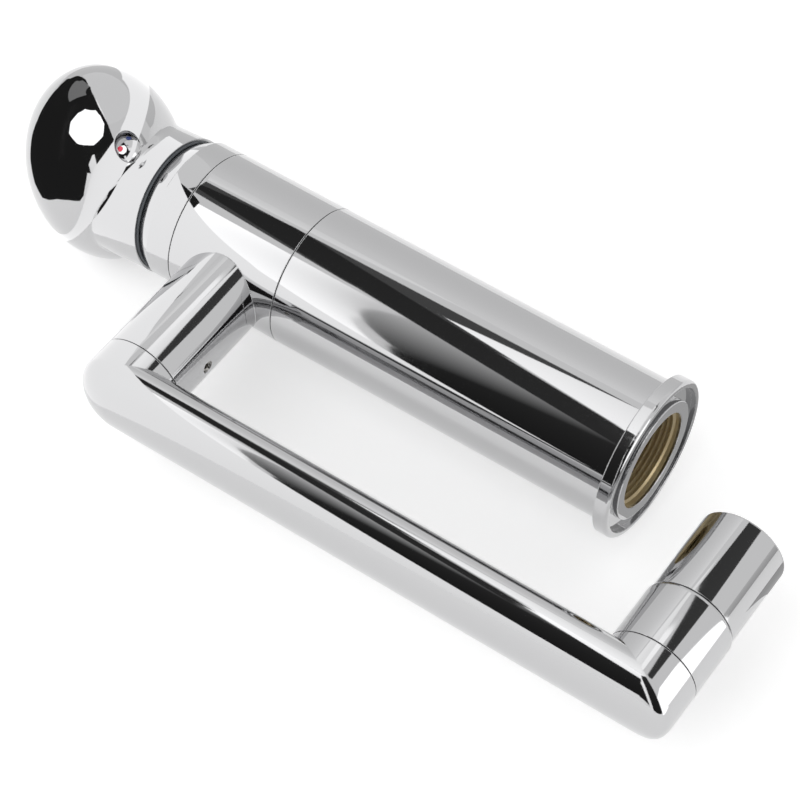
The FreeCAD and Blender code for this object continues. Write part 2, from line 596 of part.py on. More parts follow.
def bonnet():
    side = cylinder("bonnet_side", "column_r", "bonnet_bottom", "bonnet_edge_z")
    dome = common("bonnet_dome", ball("dome_ball", "dome_r", z="pivot_z"),
                  cylinder("dome_zone", "column_r", "bonnet_bottom", "pivot_z + dome_r"))
    shell = fuse("bonnet_shell", side, dome)
    inside = common("bonnet_inside", ball("inside_ball", "dome_r - dome_wall", z="pivot_z"),
                    cylinder("inside_zone", "dome_r", "core_top_z + seat_gap", "pivot_z + dome_r"))
    keep(cut("bonnet", shell, inside,
             cylinder("bonnet_thread", "journal_r + seat_gap", "bonnet_bottom - overshoot",
                      "core_top_z + 2 * seat_gap"),
             cylinder("upper_ring_seat", "ring_seat_r", "bonnet_bottom - overshoot",
                      "bonnet_bottom + ring_height"),
             cylinder("dome_opening", "dome_opening_r", "core_top_z",
                      "pivot_z + dome_r + overshoot")))


def hub():
    blank = fuse("hub_blank",
                 cylinder("hub_barrel", "column_r", "hub_bottom", "hub_top"),
                 cylinder("stub", "stub_r", "0", "stub_end", "-Y", z="spout_z"))
    keep(cut("spout_hub", blank,
             cylinder("hub_bore", "hub_bore_r", "hub_bottom - overshoot", "hub_top + overshoot"),
             cylinder("stub_bore", "stub_bore_r", "stub_bore_start", "stub_end + overshoot", "-Y",
                      z="spout_z"),
             cylinder("hub_port", "port_r", "0", "stub_bore_start + overshoot", "-Y", z="port_z"),
             cylinder("stub_washer_seat", "washer_seat_r", "stub_end - washer_seat_depth",
                      "stub_end + overshoot", "-Y", z="spout_z"),
             cylinder("lock_hole", "lock_screw_r + seat_gap", "-spout_z",
                      "stub_r - spout_z + overshoot", "-Z", y="-lock_out")))
    screw_end = "(stub_r - lock_screw_recess - spout_z)"
    body = cylinder("lock_body", "lock_screw_r", "stub_bore_r + slide_gap - spout_z", screw_end,
                    "-Z", y="-lock_out")
    tip = cylinder("lock_tip", "lock_tip_r", "spigot_r - lock_groove_depth + body_gap - spout_z",
                   screw_end, "-Z", y="-lock_out")
    keep(cut("arm_lock_screw", fuse("lock_blank", body, tip),
             hexagon("lock_socket", "lock_hex_r", screw_end + " - lock_hex_depth",
                     screw_end + " + overshoot", "-Z", y="-lock_out")))


def slide_washer(name, axis_place):
    return keep(turned(name, [
        ("washer_bore_r", "stub_end - washer_seat_depth"), ("washer_r", "stub_end - washer_seat_depth"),
        ("washer_r", "arm_face - slide_gap"), ("washer_bore_r", "arm_face - slide_gap"),
    ], axis_place=axis_place))


def pipe(name, half_width, half_depth, face, upper_r, lower_r):
    """The arm's outer or inner form: an oval run between two round ends that point at the hub,
    mitred where they meet it, with both outer corners rounded."""
    run = []
    for part, bottom, top in (("run", "outlet_z", "spout_z"),
                              ("full", f"outlet_z - 2 * {half_width}", f"spout_z + 2 * {half_width}")):
        oval = doc.addObject("Part::Ellipse", f"{name}_{part}_oval")
        bind(oval, MajorRadius=half_width, MinorRadius=half_depth,
             Placement=f"placement(vector(0; -arm_middle; {bottom}); rotation(0; 0; 0))")
        solid = doc.addObject("Part::Extrusion", f"{name}_{part}")
        solid.Base = oval
        solid.DirMode = "Custom"
        solid.Dir = FreeCAD.Vector(0, 0, 1)
        solid.Solid = True
        bind(solid, LengthFwd=f"({top}) - ({bottom})")
        run.append(solid)
    ends = []
    for part, height in (("upper", "spout_z"), ("lower", "outlet_z")):
        inner = cylinder(f"{name}_{part}_end", half_width, face, "arm_middle", "-Y", z=height)
        outer = cylinder(f"{name}_{part}_back", half_width, face, "arm_middle + 2 * arm_half_depth",
                         "-Y", z=height)
        ends += [inner, common(f"{name}_{part}_mitre", outer, run[1])]
    rough = fuse(name + "_rough", run[0], *ends)

    envelope = doc.addObject("PartDesign::Body", name + "_envelope")
    back = f"-(arm_middle + {half_depth} + elbow_offset)"
    low = f"outlet_z - {half_width} - elbow_offset"
    high = f"spout_z + {half_width} + elbow_offset"
    front = f"-({face})"
    sketch = sketch_on(envelope, name + "_envelope_outline", "YZ_Plane",
                       [(back, low), (front, low), (front, high), (back, high)])
    pad = envelope.newObject("PartDesign::Pad", name + "_envelope_pad")
    pad.Profile = sketch
    pad.Midplane = True
    bind(pad, Length=f"3 * {half_width}")
    envelope.Tip = pad
    doc.recompute()
    corners = [line.StartPoint for line in sketch.Geometry]
    for part, corner, radius in (("lower", corners[0], lower_r), ("upper", corners[3], upper_r)):
        solid = envelope.Tip
        fillet = envelope.newObject("PartDesign::Fillet", f"{name}_{part}_elbow")
        fillet.Base = (solid, [edge_along_x(solid, corner)])
        bind(fillet, Radius=radius)
        envelope.Tip = fillet
        doc.recompute()
    return common(name + "_form", rough, envelope)


def edge_along_x(feature, corner):
    """Name of the edge along X through a corner of the YZ outline."""
    for number, edge in enumerate(feature.Shape.Edges, start=1):
        middle = edge.CenterOfMass
        if abs(middle.y - corner.x) < 1e-4 and abs(middle.z - corner.y) < 1e-4:
            return f"Edge{number}"
    raise ValueError("no edge at that corner")


def spigot(name, tip, grooves, axis_place):
    """A journal that is fixed in the arm, with its grooves listed from the tip on."""
    outline = [("spigot_bore_r", "spigot_end"), ("spigot_bore_r", tip), ("spigot_r", tip)]
    for middle, width, inner in grooves:
        outline += [
            ("spigot_r", f"{middle} - {width} / 2"), (inner, f"{middle} - {width} / 2"),
            (inner, f"{middle} + {width} / 2"), ("spigot_r", f"{middle} + {width} / 2"),
        ]
    outline.append(("spigot_r", "spigot_end"))
    return keep(turned(name, outline, axis_place=axis_place))


def spigot_seals(name, places, axis_place):
    rings = [ring(f"{name}_{count}", "spigot_r + fit_gap / 2 - spigot_seal_r", "spigot_seal_r", out)
             for count, out in enumerate(places, start=1)]
    return keep(group(name, *rings), axis_place)


def arm():
    outer = pipe("arm_outer", "arm_half_width", "arm_half_depth", "arm_face",
                 "upper_elbow_r", "lower_elbow_r")
    inner = pipe("arm_inner", "(arm_half_width - arm_wall)", "(arm_half_depth - arm_wall)",
                 "spigot_end", "(upper_elbow_r - arm_wall)", "(lower_elbow_r - arm_wall)")
    seats = [cylinder(f"{name}_spigot_seat", "spigot_r + seat_gap", "arm_face - overshoot",
                      "spigot_end + seat_gap", "-Y", z=height)
             for name, height in (("upper", "spout_z"), ("lower", "outlet_z"))]
    keep(cut("spout_arm", outer, inner, *seats))

    spigot("arm_spigot", "arm_spigot_tip", [
        ("arm_seal_out", "spigot_groove_width", "spigot_groove_r"),
        ("lock_out", "lock_groove_width", "spigot_r - lock_groove_depth"),
        ("second_arm_seal", "spigot_groove_width", "spigot_groove_r"),
    ], STUB_PLACE)
    spigot_seals("arm_spigot_seals", ["arm_seal_out", "second_arm_seal"], STUB_PLACE)

    spigot("outlet_spigot", "outlet_spigot_tip", [
        ("clip_out", "(clip_height + 2 * seat_gap)", "spigot_r - clip_depth"),
        ("outlet_seal_out", "spigot_groove_width", "spigot_groove_r"),
        ("second_outlet_seal", "spigot_groove_width", "spigot_groove_r"),
    ], OUTLET_PLACE)
    spigot_seals("outlet_spigot_seals", ["outlet_seal_out", "second_outlet_seal"], OUTLET_PLACE)

    clip = turned("clip_turning", [
        ("spigot_r - clip_depth + seat_gap", "clip_out - clip_height / 2"),
        ("clip_r", "clip_out - clip_height / 2"), ("clip_r", "clip_out + clip_height / 2"),
        ("spigot_r - clip_depth + seat_gap", "clip_out + clip_height / 2"),
    ])
    opening = block("clip_gap", "clip_r / 2", "clip_opening / 2", "clip_out - clip_height",
                    "clip_out + clip_height", x="clip_r")
    keep(cut("outlet_clip", clip, opening), OUTLET_PLACE)


def outlet():
    keep(turned("outlet_collar", [
        ("stub_bore_r", "collar_bore_end"), ("barrel_neck_r + seat_gap", "collar_bore_end"),
        ("barrel_neck_r + seat_gap", "shoulder_out"), ("collar_r", "shoulder_out"),
        ("collar_r", "stub_end"), ("washer_seat_r", "stub_end"),
        ("washer_seat_r", "stub_end - washer_seat_depth"),
        ("stub_bore_r", "stub_end - washer_seat_depth"),
    ], [("shoulder_round", [3])], OUTLET_PLACE))

    barrel = turned("barrel_turning", [
        ("barrel_neck_bore_r", "shoulder_out + barrel_neck_length"),
        ("barrel_neck_bore_r", "shoulder_out - barrel_neck_length"),
        ("barrel_bore_r", "shoulder_out - barrel_neck_length"),
        ("barrel_bore_r", "barrel_end + cap_recess + cap_height"),
        ("cap_r + seat_gap", "barrel_end + cap_recess + cap_height"),
        ("cap_r + seat_gap", "barrel_end"), ("barrel_r", "barrel_end"),
        ("barrel_r", "shoulder_out"), ("barrel_neck_r", "shoulder_out"),
        ("barrel_neck_r", "shoulder_out + barrel_neck_length"),
    ], [("barrel_end_round", [6])])
    port = cylinder("aerator_port", "aerator_r + seat_gap", "0", "2 * barrel_r", "-X", z="aerator_out")
    keep(cut("outlet_barrel", barrel, port), OUTLET_PLACE)

    keep(turned("outlet_cap", [
        ("0", "barrel_end + cap_recess"), ("cap_r", "barrel_end + cap_recess"),
        ("cap_r", "barrel_end + cap_recess + cap_height"), ("0", "barrel_end + cap_recess + cap_height"),
    ], [("2 * edge_round", [1])], OUTLET_PLACE))

    insert_top = "(aerator_end - aerator_lip_height - seat_gap)"
    insert_bottom = f"({insert_top} - insert_height)"
    keep(turned("aerator_housing", [
        ("aerator_lip_r", "aerator_end"), ("aerator_lip_r", "aerator_end - aerator_lip_height"),
        ("aerator_bore_r", "aerator_end - aerator_lip_height"), ("aerator_bore_r", "aerator_start"),
        ("aerator_r", "aerator_start"), ("aerator_r", "aerator_end"),
    ], [("edge_round", [5])], AERATOR_PLACE))
    blank = cylinder("insert_blank", "aerator_bore_r - seat_gap", insert_bottom, insert_top)
    holes = []
    for row, count in enumerate((1, 6, 12)):
        for number in range(count):
            angle = f"{number} * 360 / {count}"
            holes.append(cylinder(f"insert_hole_{row}_{number}", "insert_hole_r",
                                  f"{insert_bottom} - overshoot", f"{insert_top} + overshoot",
                                  x=f"{row} * insert_pitch * cos({angle})",
                                  y=f"{row} * insert_pitch * sin({angle})"))
    keep(cut("aerator_insert", blank, *holes), AERATOR_PLACE)
    mesh_top = f"({insert_bottom} - seat_gap)"
    keep(cylinder("aerator_mesh", "aerator_bore_r - seat_gap", f"{mesh_top} - mesh_height", mesh_top,
                  "-X", y="-aerator_out", z="outlet_z"))
    washer_top = "(aerator_start - seat_gap)"
    keep(turned("aerator_washer", [
        ("aerator_washer_bore_r", f"{washer_top} - aerator_washer_height"),
        ("aerator_r", f"{washer_top} - aerator_washer_height"),
        ("aerator_r", washer_top), ("aerator_washer_bore_r", washer_top),
    ], axis_place=AERATOR_PLACE))


def carrier():
    blank = cylinder("yoke_blank", "yoke_r", "yoke_z", "yoke_z + yoke_height")
    slot = block("yoke_slot", "yoke_slot_half_length", "stem_r + body_gap", "yoke_z - overshoot",
                 "yoke_z + yoke_height + overshoot")
    hole = cylinder("yoke_hole", "pin_r + seat_gap", "-yoke_r - overshoot", "yoke_r + overshoot", "Y",
                    z="pivot_z")
    keep(cut("lever_yoke", blank, slot, hole), CARRIER_PLACE)
    pin = cylinder("yoke_pin", "pin_r", "-pin_half_length", "pin_half_length", "Y", z="0")
    keep(pin, "placement(vector(0; 0; pivot_z); rotation(lever_yaw; 0; -90))"
              " * placement(vector(0; 0; -pin_half_length); rotation(0; 0; 0))")


def moving_disc():
    shift = "(ball_drop * sin(-lever_lean))"
    disc = cylinder("moving_disc_blank", "yoke_r", "moving_disc_z",
                    "moving_disc_z + moving_disc_height", x=shift)
    pocket = cylinder("ball_pocket", "ball_r + body_gap", "moving_disc_z + moving_disc_floor",
                      "moving_disc_z + moving_disc_height + overshoot", x=shift)
    keep(cut("moving_ceramic_disc", disc, pocket), CARRIER_PLACE)


def stem():
    blank = fuse("stem_blank",
                 ball("stem_ball", "ball_r", z="-ball_drop"),
                 cylinder("ball_neck", "ball_neck_r", "-ball_drop", "-stem_start + stem_overlap"),
                 cylinder("stem_round", "stem_r", "-stem_start", "bar_start + stem_overlap"),
                 block("stem_bar", "bar_width / 2", "bar_width / 2", "bar_start", "bar_top"))
    hole = cylinder("stem_hole", "pin_r + fit_gap", "-2 * stem_r", "2 * stem_r", "Y", z="0")
    keep(cut("lever_stem", blank, hole), LEVER_PLACE)


def head(name, wall):
    """The ball-shaped head, smaller by a wall for its inside."""
    thing = doc.addObject("Part::Ellipsoid", name)
    return bind(thing, Radius1=f"head_half_height - {wall}", Radius2=f"head_half_length - {wall}",
                Radius3=f"head_half_width - {wall}",
                Placement="placement(vector(head_offset; 0; head_z); rotation(0; head_turn; 0))")


def in_button(thing, start):
    """Put a cylinder or a ball on the button's axis, with its start at that height on it."""
    return place(thing, BUTTON_PLACE + f" * placement(vector(0; 0; {start}); rotation(0; 0; 0))")


def knob():
    neck = cylinder("knob_neck", "handle_neck_r", "rim_height", "head_z")
    outer = fuse("knob_form", neck, head("knob_head", "0"))
    doc.recompute()
    blended = doc.addObject("Part::Fillet", "knob_blend")
    blended.Base = outer
    radius = sheet.get("neck_blend")
    blended.Edges = [(number, radius, radius) for number in neck_edges(outer.Shape, neck)]
    bosses = fuse("knob_bosses",
                  cylinder("bar_boss", "boss_r", "rim_height", "head_z + head_half_height"),
                  in_button(cylinder("screw_boss", "screw_boss_r", "-screw_end", "button_rise"),
                            "-screw_end"))
    hollow = cut("knob_hollow", head("knob_inside", "knob_wall"), bosses)
    button_seat = in_button(cylinder("button_seat", "button_r + seat_gap", "-button_depth",
                                     "button_depth + 2 * button_rise"), "-button_depth")
    screw_hole = in_button(cylinder("screw_hole", "screw_r + seat_gap", "-screw_end - overshoot", "0"),
                           "-screw_end - overshoot")
    keep(cut("handle_knob", blended, ball("knob_cavity", "cavity_r"), hollow,
             block("bar_socket", "bar_width / 2 + seat_gap", "bar_width / 2 + seat_gap",
                   "rim_height", "bar_top + slide_gap"),
             cylinder("glide_seat", "glide_r + seat_gap", "0", "rim_height + glide_above + seat_gap"),
             button_seat, screw_hole), LEVER_PLACE)

    glide = cut("handle_glide_ring",
                cylinder("glide_blank", "glide_r", "rim_height - glide_below",
                         "rim_height + glide_above"),
                ball("glide_ball", "dome_r + glide_gap"))
    keep(glide, LEVER_PLACE)


def neck_edges(shape, neck):
    """Numbers of the edges where the neck meets the head."""
    rim = neck.Placement.Base.z + sheet.get("glide_above")
    radius = neck.Radius.Value
    numbers = []
    for number, edge in enumerate(shape.Edges, start=1):
        if edge.Degenerated:
            continue
        points = edge.discretize(5)
        on_neck = all(abs(math.hypot(point.x, point.y) - radius) < 1e-3 for point in points)
        above_rim = all(point.z > rim for point in points)
        faces = shape.ancestorsOfType(edge, Part.Face)
        if on_neck and above_rim and not faces[0].isSame(faces[-1]):
            numbers.append(number)
    return numbers


def button():
    form = common("button_form", cylinder("button_blank", "button_r", "-button_depth", "button_rise"),
                  ball("button_ball", "button_dome_r", z="button_rise - button_dome_r"))
    dot_bottom = "button_rise - dot_depth - dot_rise"
    sides = (("hot", "-dot_side"), ("cold", "dot_side"))
    seats = [cylinder(f"{side}_dot_seat", "dot_r", dot_bottom, "button_rise + overshoot",
                      x="-dot_up", y=y) for side, y in sides]
    keep(cut("indicator_button", form, *seats), BUTTON_ON_LEVER_PLACE)
    for side, y in sides:
        blank = cylinder(f"{side}_dot_blank", "dot_r", dot_bottom, "button_rise + overshoot",
                         x="-dot_up", y=y)
        face = ball(f"{side}_dot_face", "button_dome_r + dot_rise", z="button_rise - button_dome_r")
        keep(common(f"{side}_dot", blank, face), BUTTON_ON_LEVER_PLACE)
    screw = cylinder("screw_blank", "screw_r", "-screw_end", "-screw_start")
    socket = hexagon("screw_socket", "screw_hex_r", "-screw_start - screw_hex_depth",
                     "-screw_start + overshoot")
    keep(cut("handle_set_screw", screw, socket), BUTTON_ON_LEVER_PLACE)


def check_and_write():
    """Stop if anything failed, then write every sub-part's shape."""
    doc.recompute()
    for thing in doc.Objects:
        if "Invalid" in thing.State or "Error" in thing.State:
            raise RuntimeError(f"{thing.Name} failed: {thing.State}")
    for label, thing in subparts.items():
        shape = thing.Shape
        if shape.isNull() or not shape.isValid() or not shape.Solids:
            raise RuntimeError(f"{label} has no valid shape")
    for label, thing in subparts.items():
        thing.Shape.exportStep(f"parts/{label}.step")
        print(f"{label}: {len(thing.Shape.Solids)} solids, {thing.Shape.Volume:.0f} mm3")


os.makedirs("parts", exist_ok=True)
fill_sheet()
column()
slide_rings()
core()
cartridge()
bonnet()
hub()
slide_washer("arm_slide_washer", STUB_PLACE)
arm()
outlet()
slide_washer("outlet_slide_washer", OUTLET_PLACE)
carrier()
moving_disc()
stem()
knob()
button()
check_and_write()
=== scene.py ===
import json
import math

import bmesh
import bpy
from mathutils import Matrix, Vector


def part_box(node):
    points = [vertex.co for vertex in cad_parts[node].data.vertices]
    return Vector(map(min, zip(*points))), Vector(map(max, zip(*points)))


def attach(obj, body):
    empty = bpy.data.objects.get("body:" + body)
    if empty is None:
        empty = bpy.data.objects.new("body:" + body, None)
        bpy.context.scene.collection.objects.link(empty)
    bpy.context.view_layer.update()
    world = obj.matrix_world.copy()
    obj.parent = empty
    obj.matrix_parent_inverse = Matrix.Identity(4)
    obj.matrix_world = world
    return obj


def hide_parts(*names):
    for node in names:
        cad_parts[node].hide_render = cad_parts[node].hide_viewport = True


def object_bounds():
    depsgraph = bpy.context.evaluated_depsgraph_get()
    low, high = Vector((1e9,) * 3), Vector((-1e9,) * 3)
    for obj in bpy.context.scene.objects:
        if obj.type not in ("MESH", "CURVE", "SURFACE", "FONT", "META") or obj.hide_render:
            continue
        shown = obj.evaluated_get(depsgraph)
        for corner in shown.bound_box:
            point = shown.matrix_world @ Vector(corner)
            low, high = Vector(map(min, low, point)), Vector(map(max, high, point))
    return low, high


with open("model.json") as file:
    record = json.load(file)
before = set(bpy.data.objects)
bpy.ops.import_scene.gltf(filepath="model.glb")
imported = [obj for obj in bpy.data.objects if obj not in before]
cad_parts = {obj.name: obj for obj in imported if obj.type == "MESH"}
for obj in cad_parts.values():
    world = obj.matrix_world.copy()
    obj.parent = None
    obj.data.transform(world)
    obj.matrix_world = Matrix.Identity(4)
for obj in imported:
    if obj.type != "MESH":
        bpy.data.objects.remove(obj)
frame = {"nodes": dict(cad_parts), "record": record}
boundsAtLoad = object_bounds()
nodes = frame["nodes"]
mm = 0.001
weld = 1e-7  # m within which points are the same
white = (1, 1, 1, 1)
print("frame loaded:", len(nodes), "nodes")


def linear(hexColour):
    # sRGB hex to linear, with alpha
    values = []
    for i in (1, 3, 5):
        c = int(hexColour[i:i + 2], 16) / 255
        values.append(c / 12.92 if c <= 0.04045 else ((c + 0.055) / 1.055) ** 2.4)
    return (*values, 1)


def addNode(tree, kind, links=None, **settings):
    # one node; settings name a property or, failing that, an input socket; links name an input and its source
    node = tree.nodes.new(kind)
    for name, value in settings.items():
        if hasattr(node, name):
            setattr(node, name, value)
        else:
            node.inputs[name.replace("_", " ")].default_value = value
    for name, source in (links or {}).items():
        tree.links.new(source, node.inputs[name])
    return node


def newMaterial(name):
    # a material with its Principled shader, ready for more nodes
    material = bpy.data.materials.new(name)
    material.use_nodes = True
    tree = material.node_tree
    return material, tree, tree.nodes["Principled BSDF"]


def newObject(name, bm, material):
    # turn a bmesh into an object of the scene, at the origin
    mesh = bpy.data.meshes.new(name)
    bm.to_mesh(mesh)
    bm.free()
    mesh.materials.append(material)
    thing = bpy.data.objects.new(name, mesh)
    bpy.context.scene.collection.objects.link(thing)
    return thing


def finishPiece(name, bm, slot, body, sharpAngle=30):
    # a piece that rides on a body, smooth but for the edges that turn more than the sharp angle
    bmesh.ops.recalc_face_normals(bm, faces=bm.faces)
    for face in bm.faces:
        face.smooth = True
    for edge in bm.edges:
        edge.smooth = edge.calc_face_angle(0) < math.radians(sharpAngle)
    piece = newObject(name, bm, finishes[slot])
    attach(piece, body)
    return piece


# The photograph's camera, found from the part's outlines: place in mm, and its three axes
camera = {
    "place": (627.770, -411.789, -201.370),
    "right": (-0.0021, 0.5727, -0.8198),
    "up": (0.6032, 0.6546, 0.4558),
    "back": (0.7976, -0.4935, -0.3468),
    "lens": 122.47,
    "sensor": 36.0,
    "clip": (0.01, 50),      # m
}


def makeCamera():
    data = bpy.data.cameras.new("photoCamera")
    data.lens = camera["lens"]
    data.sensor_width = camera["sensor"]
    data.clip_start, data.clip_end = camera["clip"]
    thing = bpy.data.objects.new("photoCamera", data)
    bpy.context.scene.collection.objects.link(thing)
    axes = [Vector(camera[name]).normalized() for name in ("right", "up", "back")]
    turn = Matrix(axes).transposed().to_4x4()
    thing.matrix_world = Matrix.Translation(Vector(camera["place"]) * mm) @ turn
    bpy.context.scene.camera = thing


makeCamera()
print("camera placed")

# Chrome plate over polished brass: a neutral grey mirror with the faint waviness of hand polishing
polishedChrome = {
    "colour": "#bdbdbe",
    "roughness": 0.03,
    "hazeRoughness": 0.055,
    "hazeScale": 25,         # patches of polishing haze about 40 mm across
    "hazeRange": (0.35, 0.75),
    "waveScale": 38,         # waves about 26 mm apart
    "waveHeight": 0.003 * mm,
    "edgeRadius": 0.35 * mm,
}


def makeChrome():
    p = polishedChrome
    material, tree, shader = newMaterial("polishedChrome")
    place = addNode(tree, "ShaderNodeTexCoord").outputs["Object"]
    haze = addNode(tree, "ShaderNodeTexNoise", {"Vector": place}, Scale=p["hazeScale"], Detail=3.0)
    low, high = p["hazeRange"]
    rough = addNode(tree, "ShaderNodeMapRange", {"Value": haze.outputs["Fac"]}, From_Min=low, From_Max=high,
                    To_Min=p["roughness"], To_Max=p["hazeRoughness"])
    wave = addNode(tree, "ShaderNodeTexNoise", {"Vector": place}, Scale=p["waveScale"], Detail=1.0)
    edge = addNode(tree, "ShaderNodeBevel", samples=4, Radius=p["edgeRadius"])
    bump = addNode(tree, "ShaderNodeBump", {"Height": wave.outputs["Fac"], "Normal": edge.outputs["Normal"]},
                   Strength=1.0, Distance=p["waveHeight"])
    shader.inputs["Base Color"].default_value = linear(p["colour"])
    shader.inputs["Metallic"].default_value = 1
    tree.links.new(rough.outputs["Result"], shader.inputs["Roughness"])
    tree.links.new(bump.outputs["Normal"], shader.inputs["Normal"])
    return material


# Free-cutting brass, turned: pale yellow-olive with darker tarnish and fine rings round the turning axis
machinedBrass = {
    "colour": "#d8caa6",
    "darkColour": "#a08d66",
    "roughness": 0.3,
    "metallic": 0.6,         # the tarnish is a thin dull skin, so that the cut metal has no full mirror
    "stainScale": 120.0,     # stains about 8 mm across
    "toolPitch": 0.35 * mm,  # real feed is about 0.1 mm; drawn coarser so that it shows
    "toolWander": 0.4,
    "toolHeight": 0.001 * mm,
}


def makeBrass():
    p = machinedBrass
    material, tree, shader = newMaterial("machinedBrass")
    place = addNode(tree, "ShaderNodeTexCoord").outputs["Object"]
    stain = addNode(tree, "ShaderNodeTexNoise", {"Vector": place}, Scale=p["stainScale"], Detail=4.0)
    colour = addNode(tree, "ShaderNodeMix", {"Factor": stain.outputs["Fac"]}, data_type="RGBA")
    colour.inputs["A"].default_value = linear(p["darkColour"])
    colour.inputs["B"].default_value = linear(p["colour"])
    rings = addNode(tree, "ShaderNodeTexWave", {"Vector": place}, bands_direction="Z", wave_profile="SIN",
                    Scale=math.tau / 20 / p["toolPitch"], Distortion=p["toolWander"], Detail=1.0)
    bump = addNode(tree, "ShaderNodeBump", {"Height": rings.outputs["Fac"]}, Strength=1.0,
                   Distance=p["toolHeight"])
    shader.inputs["Metallic"].default_value = p["metallic"]
    shader.inputs["Roughness"].default_value = p["roughness"]
    tree.links.new(colour.outputs["Result"], shader.inputs["Base Color"])
    tree.links.new(bump.outputs["Normal"], shader.inputs["Normal"])
    return material


# Stainless steel as screws and clips have it: cold formed, bright with a slightly grainy gloss
brightStainless = {
    "colour": "#c3c0ba",
    "roughness": 0.22,
    "grainScale": 2200,      # grain of about 0.5 mm
    "grainHeight": 0.004 * mm,
}

# Nitrile rubber, moulded: black with a soft sheen and a fine matt grain
mouldedRubber = {
    "colour": "#17181a",
    "roughness": 0.55,
    "grainScale": 2600,
    "grainHeight": 0.01 * mm,
}

# Alumina ceramic, lapped: off-white, dense, with a silky gloss
lappedAlumina = {
    "colour": "#eae6dc",
    "roughness": 0.18,
    "grainScale": 3000,
    "grainHeight": 0.002 * mm,
}

# Acetal, moulded: dark grey with the satin gloss of the mould
mouldedAcetal = {
    "colour": "#4c5054",
    "roughness": 0.4,
    "grainScale": 1800,
    "grainHeight": 0.006 * mm,
}

# Glass-filled nylon, moulded: light grey, a little mottled where the glass comes near the surface
mouldedNylon = {
    "colour": "#dadbdd",
    "roughness": 0.45,
    "grainScale": 1500,
    "grainHeight": 0.008 * mm,
}

# Stove enamel in the button's two sockets: glossy, with a faint orange peel
redEnamel = {
    "colour": "#d0143c",
    "roughness": 0.12,
    "grainScale": 2500,
    "grainHeight": 0.003 * mm,
}
blueEnamel = {
    "colour": "#2a3c78",
    "roughness": 0.12,
    "grainScale": 2500,
    "grainHeight": 0.003 * mm,
}

# The slight unevenness of colour that all these dense materials have
mottle = {
    "grains": 12,            # grains across one cloud
    "cloudRange": (0.3, 0.7),
    "shadeRange": (0.94, 1.04),
}


def makeGrained(name, p, metallic=0.0):
    # a dense material with a slightly uneven colour and a fine grain
    material, tree, shader = newMaterial(name)
    place = addNode(tree, "ShaderNodeTexCoord").outputs["Object"]
    (low, high), (dark, pale) = mottle["cloudRange"], mottle["shadeRange"]
    cloud = addNode(tree, "ShaderNodeTexNoise", {"Vector": place}, Scale=p["grainScale"] / mottle["grains"],
                    Detail=3.0)
    shade = addNode(tree, "ShaderNodeMapRange", {"Value": cloud.outputs["Fac"]}, From_Min=low, From_Max=high,
                    To_Min=dark, To_Max=pale)
    colour = addNode(tree, "ShaderNodeHueSaturation", {"Value": shade.outputs["Result"]})
    colour.inputs["Color"].default_value = linear(p["colour"])
    grain = addNode(tree, "ShaderNodeTexNoise", {"Vector": place}, Scale=float(p["grainScale"]), Detail=2.0)
    bump = addNode(tree, "ShaderNodeBump", {"Height": grain.outputs["Fac"]}, Strength=1.0,
                   Distance=p["grainHeight"])
    shader.inputs["Metallic"].default_value = metallic
    shader.inputs["Roughness"].default_value = p["roughness"]
    tree.links.new(colour.outputs["Color"], shader.inputs["Base Color"])
    tree.links.new(bump.outputs["Normal"], shader.inputs["Normal"])
    return material


finishes = {
    "chrome": makeChrome(),
    "brass": makeBrass(),
    "steel": makeGrained("brightStainless", brightStainless, 1.0),
    "rubber": makeGrained("mouldedRubber", mouldedRubber),
    "ceramic": makeGrained("lappedAlumina", lappedAlumina),
    "slide_plastic": makeGrained("mouldedAcetal", mouldedAcetal),
    "cartridge_plastic": makeGrained("mouldedNylon", mouldedNylon),
    "red_enamel": makeGrained("redEnamel", redEnamel),
    "blue_enamel": makeGrained("blueEnamel", blueEnamel),
}
for entry in frame["record"]["subparts"]:
    mesh = nodes[entry["node"]].data
    mesh.materials.clear()
    mesh.materials.append(finishes[entry["material_slot"]])
print("materials:", len(finishes))

# The arm with the domed outer corners of the photograph. A skin is its half width and half depth in mm; an end
# is its height, its direction along Z, and how full its corner is: 2 is an ellipse, more is squarer
domedArm = {
    "middle": 67.35,
    "skins": ((13.9, 8.5), (11.9, 6.5)),
    "ends": ((138.3, 1, 2.0), (-35.8, -1, 4.5)),
    "rows": 30,
    "agree": 0.96,           # least cosine between a facet's own normal and its surface's
    "onSkin": 0.004,         # share of the skin's size by which a point may lie off it
    "onCut": 0.01,           # mm by which a point may lie off the cut under a corner
    "tipReach": 0.05,        # mm round the two points where a corner's rows come together
    "tipWeld": 0.06,
}


